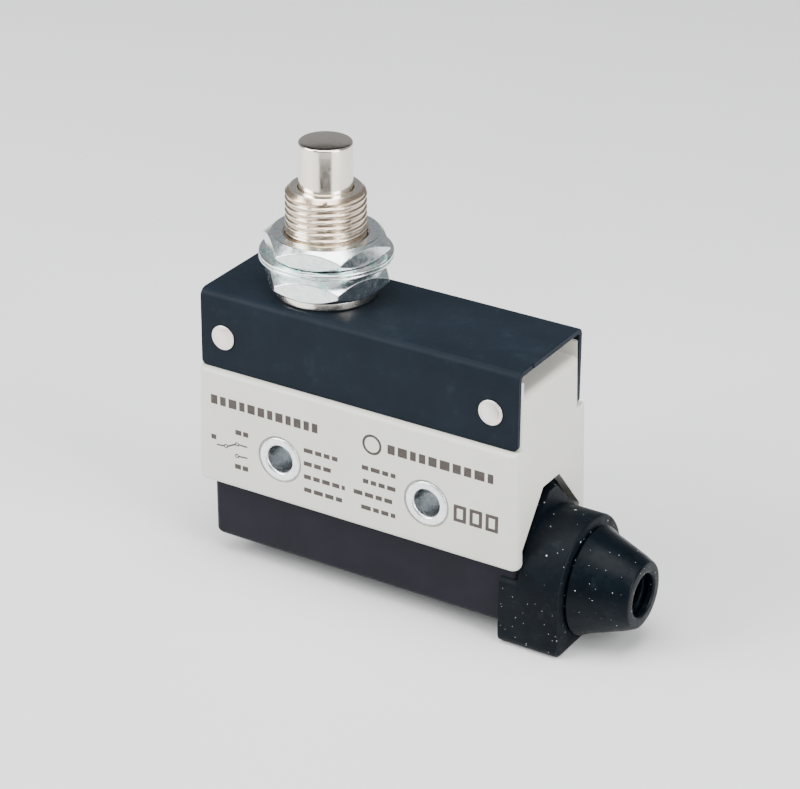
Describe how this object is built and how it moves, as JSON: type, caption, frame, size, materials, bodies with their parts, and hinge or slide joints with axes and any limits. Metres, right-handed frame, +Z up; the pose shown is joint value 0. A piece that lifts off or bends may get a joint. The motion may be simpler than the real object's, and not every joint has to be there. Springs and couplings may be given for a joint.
{
  "type": "limit switch",
  "caption": "Enclosed snap-action limit switch with a threaded panel-mount plunger, through mounting holes and a rubber cable boot.",
  "frame": {"origin": "middle of the two mounting holes, halfway through the body's thickness", "axes": "+X along the body towards the cable nozzle, +Y towards the back face, +Z up along the plunger"},
  "size_m": [0.0711, 0.0208, 0.0679],
  "materials": {
    "housing_plastic": "fine matt moulded light grey",
    "cover_black": "satin black paint on steel sheet",
    "nickel": "bright nickel plating",
    "eyelet_metal": "bright tin-plated",
    "zinc": "bright blue zinc plating",
    "spring_steel": "drawn wire",
    "steel": "plain turned steel",
    "brass": "stamped strip",
    "contact_silver": "silver alloy",
    "phenolic": "dark red-brown moulding",
    "button_red": "moulded",
    "nylon": "natural nylon",
    "tray_plastic": "smooth dark grey moulding",
    "rubber": "matt black with light dust",
    "seal_rubber": "matt black"
  },
  "bodies": {
    "switch_body": {"housing": "housing_plastic", "top_cover": "cover_black", "rivet_left": "nickel", "rivet_right": "nickel", "eyelet_left": "eyelet_metal", "eyelet_right": "eyelet_metal", "bushing": "nickel", "bushing_lock_ring": "steel", "plunger_oring": "seal_rubber", "pin_guide": "nylon", "lower_washer": "zinc", "lower_nut": "zinc", "switch_base": "phenolic", "switch_lid": "phenolic", "lid_rivets": "brass", "button_seal": "seal_rubber", "nc_contact": "contact_silver", "no_contact": "contact_silver", "com_terminal": "brass", "nc_terminal": "brass", "no_terminal": "brass", "com_screw": "steel", "nc_screw": "steel", "no_screw": "steel", "com_clamp": "steel", "nc_clamp": "steel", "no_clamp": "steel", "terminal_cover": "tray_plastic", "cover_gasket": "seal_rubber", "cover_screw_left": "steel", "cover_screw_right": "steel", "cable_boot": "rubber", "cable_nozzle": "rubber"},
    "plunger": {"plunger": "nickel", "plunger_spring": "spring_steel"},
    "actuator_pin": {"actuator_pin": "brass"},
    "push_button": {"push_button": "button_red"},
    "blade": {"moving_blade": "brass", "moving_contact": "contact_silver"},
    "upper_washer": {"upper_washer": "zinc"},
    "upper_nut": {"upper_nut": "zinc"}
  },
  "joints": [
    {"name": "plunger_slide", "type": "slide", "parent": "switch_body", "child": "plunger", "axis": [0, 0, 1], "range_m": [-0.0055, 0], "stiffness_N_per_m": 1200, "springref_m": 0.0033, "deforming": ["plunger_spring"]},
    {"name": "actuator_pin_slide", "type": "slide", "parent": "switch_body", "child": "actuator_pin", "axis": [0, 0, 1], "range_m": [-0.00037, 0]},
    {"name": "push_button_slide", "type": "slide", "parent": "switch_body", "child": "push_button", "axis": [0, 0, 1], "range_m": [-0.00037, 0]},
    {"name": "blade_snap", "type": "hinge", "parent": "switch_body", "child": "blade", "pos_m": [-0.0218, 0, 0.0064], "axis": [0, -1, 0], "range_deg": [-1.96, 0]},
    {"name": "upper_nut_rise", "type": "slide", "parent": "switch_body", "child": "upper_washer", "axis": [0, 0, 1], "range_m": [0, 0.006]},
    {"name": "upper_nut_turn", "type": "hinge", "parent": "upper_washer", "child": "upper_nut", "pos_m": [-0.01095, 0, 0.0323], "axis": [0, 0, 1], "range_deg": [0, 2160]}
  ],
  "couplings": [
    {"joint": "actuator_pin_slide", "follows": "plunger_slide", "ratio": 0.067239},
    {"joint": "push_button_slide", "follows": "plunger_slide", "ratio": 0.067239},
    {"joint": "blade_snap", "follows": "plunger_slide", "rad_per_m": 6.1972},
    {"joint": "upper_nut_rise", "follows": "upper_nut_turn", "m_per_rad": 0.00015914}
  ]
}
